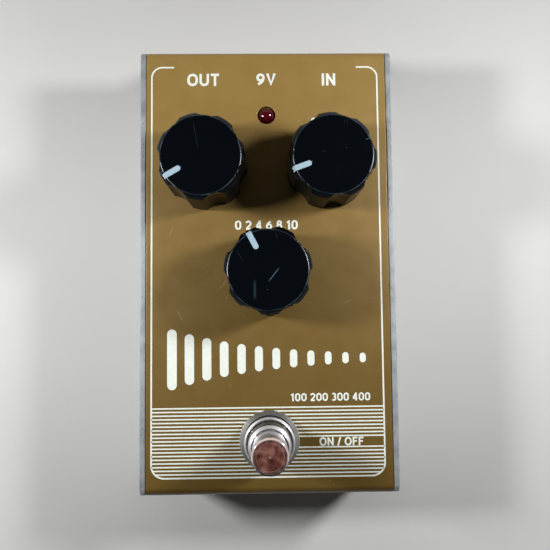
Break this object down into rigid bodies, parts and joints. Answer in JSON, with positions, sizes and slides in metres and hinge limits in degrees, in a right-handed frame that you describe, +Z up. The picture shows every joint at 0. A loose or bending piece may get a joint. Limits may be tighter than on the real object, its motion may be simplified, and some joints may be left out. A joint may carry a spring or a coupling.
{
  "type": "delay effect pedal",
  "caption": "Floor effect pedal in a folded metal box with fluted turning knobs, an indicator lamp, a sprung footswitch and plug sockets on its rear face.",
  "frame": {"origin": "on the ground, under the middle of the whole object's box", "axes": "+Z up, +Y towards the rear face with the sockets, +X to the right seen from the footswitch end"},
  "size_m": [0.072, 0.1306, 0.0503],
  "materials": {
    "bronze_paint": "satin metallic bronze paint on steel sheet",
    "bare_steel": "bare plated steel sheet",
    "black_steel": "black oxide",
    "plated_brass": "bright nickel plating",
    "knob_plastic": "gloss black moulding",
    "pointer_white": "white inlay",
    "red_lens": "clear red lens, unlit",
    "foot_rubber": "matte",
    "blue_plastic": "moulded",
    "black_plastic": "moulded",
    "contact_brass": "bright",
    "spring_steel": "bright",
    "pot_case": "moulded",
    "circuit_board": "solder mask",
    "grey_vinyl": "flat cable",
    "chip_plastic": "moulded",
    "cap_sleeve": "shrink sleeve",
    "film_resin": "dipped resin"
  },
  "bodies": {
    "housing": {"top_cover": "bronze_paint", "base_chassis": "bare_steel", "cover_screws": "black_steel", "switch_bushing": "plated_brass", "switch_nut": "plated_brass", "switch_washer": "plated_brass", "switch_back_nut": "plated_brass", "switch_lock_washer": "plated_brass", "switch_body": "blue_plastic", "switch_lugs": "contact_brass", "switch_spring": "spring_steel", "led": "red_lens", "led_spacer": "black_plastic", "dc_jack": "black_plastic", "dc_pin": "contact_brass", "main_board": "circuit_board", "switch_board": "circuit_board", "ribbon_cable": "grey_vinyl", "delay_chip": "chip_plastic", "clock_chip": "chip_plastic", "amp_chips": "chip_plastic", "electrolytic_caps": "cap_sleeve", "film_caps": "film_resin", "foot_front_left": "foot_rubber", "foot_front_right": "foot_rubber", "foot_rear_left": "foot_rubber", "foot_rear_right": "foot_rubber", "left_pot": "pot_case", "left_pot_nut": "plated_brass", "left_pot_washer": "plated_brass", "right_pot": "pot_case", "right_pot_nut": "plated_brass", "right_pot_washer": "plated_brass", "middle_pot": "pot_case", "middle_pot_nut": "plated_brass", "middle_pot_washer": "plated_brass", "output_jack": "black_plastic", "output_jack_nut": "plated_brass", "output_jack_washer": "plated_brass", "output_jack_contacts": "contact_brass", "input_jack": "black_plastic", "input_jack_nut": "plated_brass", "input_jack_washer": "plated_brass", "input_jack_contacts": "contact_brass"},
    "left_dial": {"left_knob": "knob_plastic", "left_pointer": "pointer_white", "left_shaft": "spring_steel"},
    "right_dial": {"right_knob": "knob_plastic", "right_pointer": "pointer_white", "right_shaft": "spring_steel"},
    "middle_dial": {"middle_knob": "knob_plastic", "middle_pointer": "pointer_white", "middle_shaft": "spring_steel"},
    "foot_button": {"switch_button": "plated_brass"}
  },
  "joints": [
    {"name": "left_turn", "type": "hinge", "parent": "housing", "child": "left_dial", "pos_m": [-0.0172, 0.02595, 0.04], "axis": [0, 0, -1], "range_deg": [-29.5, 270.5]},
    {"name": "right_turn", "type": "hinge", "parent": "housing", "child": "right_dial", "pos_m": [0.0172, 0.02595, 0.04], "axis": [0, 0, -1], "range_deg": [-40, 260]},
    {"name": "middle_turn", "type": "hinge", "parent": "housing", "child": "middle_dial", "pos_m": [0, -0.00385, 0.04], "axis": [0, 0, -1], "range_deg": [-122.5, 177.5]},
    {"name": "switch_press", "type": "slide", "parent": "housing", "child": "foot_button", "axis": [0, 0, -1], "range_m": [0, 0.003], "stiffness_N_per_m": 4000, "deforming": ["switch_spring"]}
  ]
}
